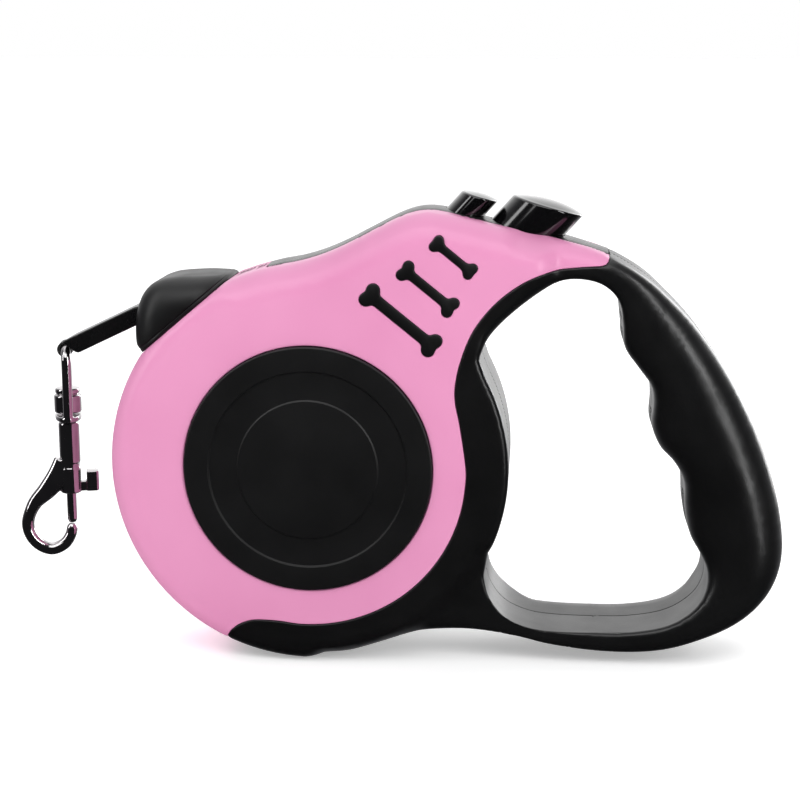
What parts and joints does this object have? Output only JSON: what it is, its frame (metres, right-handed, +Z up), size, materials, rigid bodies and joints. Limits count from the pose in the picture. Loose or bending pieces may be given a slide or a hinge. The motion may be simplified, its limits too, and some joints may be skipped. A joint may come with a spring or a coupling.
{
  "type": "retractable leash",
  "caption": "Hand-held retractable tape leash: round reel housing with a finger-grooved grip loop, thumb brake and lock buttons, and a swivelling bolt snap at the tape's end.",
  "frame": {"origin": "bottom centre of the bounding box, under the lowest point of the round housing's height", "axes": "+X from the tape's mouth towards the hand loop, -Y out of the front cover, +Z up towards the thumb buttons"},
  "size_m": [0.179, 0.0344, 0.1081],
  "materials": {
    "shell": "satin-gloss moulded pink",
    "grip": "fine textured black moulding",
    "trim": "satin black moulding",
    "cap": "satin black moulding with polished steps",
    "bone": "satin black inlay",
    "button": "high gloss black",
    "snap": "bright plated zinc casting",
    "webbing": "plain woven polyester tape",
    "reel": "natural acetal",
    "steel": "plain zinc-plated steel",
    "spring": "spring steel",
    "bush": "plain turned"
  },
  "bodies": {
    "housing": {"shell_front": "shell", "shell_rear": "shell", "grip_front": "grip", "grip_rear": "grip", "top_strip": "trim", "exit_nozzle": "trim", "cap_front": "cap", "cap_rear": "cap", "bone_large_front": "bone", "bone_large_rear": "bone", "bone_medium_front": "bone", "bone_medium_rear": "bone", "bone_small_front": "bone", "bone_small_rear": "bone", "axle_post": "steel", "axle_screw": "steel", "screw_grip_upper": "steel", "screw_grip_middle": "steel", "screw_grip_lower": "steel", "screw_housing_lower": "steel", "button_guide": "reel", "brake_spring": "spring", "lock_spring": "spring"},
    "reel": {"reel_drum": "reel", "reel_spring_cup": "reel", "spring_cover": "reel", "retract_spring": "spring", "bush_front": "bush", "bush_rear": "bush", "tape_coil": "webbing"},
    "leash_end": {"tape_run": "webbing", "tape_end_sleeve": "trim", "tape_loop": "webbing"},
    "eye": {"snap_eye": "snap"},
    "snap": {"snap_body": "snap", "bolt_spring": "spring"},
    "bolt": {"snap_bolt": "snap"},
    "brake": {"brake_button": "button", "brake_plunger": "steel"},
    "lock": {"lock_button": "button"}
  },
  "joints": [
    {"name": "reel_turn", "type": "hinge", "parent": "housing", "child": "reel", "pos_m": [-0.01874, 0, 0.04597], "axis": [0, -1, 0], "range_deg": [0, 6480], "stiffness_Nm_per_rad": 0.00115, "springref_deg": -4984.73, "deforming": ["retract_spring"]},
    {"name": "leash_payout", "type": "slide", "parent": "housing", "child": "leash_end", "axis": [-1, 0, 0], "range_m": [0, 2.97]},
    {"name": "eye_swing", "type": "hinge", "parent": "leash_end", "child": "eye", "pos_m": [-0.07794, 0, 0.07027], "axis": [-0.2588, 0.9659, 0], "range_deg": [-10, 90]},
    {"name": "hook_swivel", "type": "hinge", "parent": "eye", "child": "snap", "pos_m": [-0.07794, 0, 0.05397], "axis": [0, 0, 1], "continuous": true},
    {"name": "bolt_slide", "type": "slide", "parent": "snap", "child": "bolt", "axis": [0, 0, 1], "range_m": [0, 0.005], "stiffness_N_per_m": 300, "springref_m": -0.003, "deforming": ["bolt_spring"]},
    {"name": "brake_press", "type": "slide", "parent": "housing", "child": "brake", "axis": [-0.673, 0, -0.7396], "range_m": [0, 0.004], "stiffness_N_per_m": 500, "springref_m": -0.003, "deforming": ["brake_spring"]},
    {"name": "lock_press", "type": "slide", "parent": "housing", "child": "lock", "axis": [-0.673, 0, -0.7396], "range_m": [0, 0.0022], "stiffness_N_per_m": 400, "springref_m": -0.002, "deforming": ["lock_spring"]}
  ],
  "couplings": [
    {"joint": "leash_payout", "follows": "reel_turn", "m_per_rad": 0.0262}
  ]
}
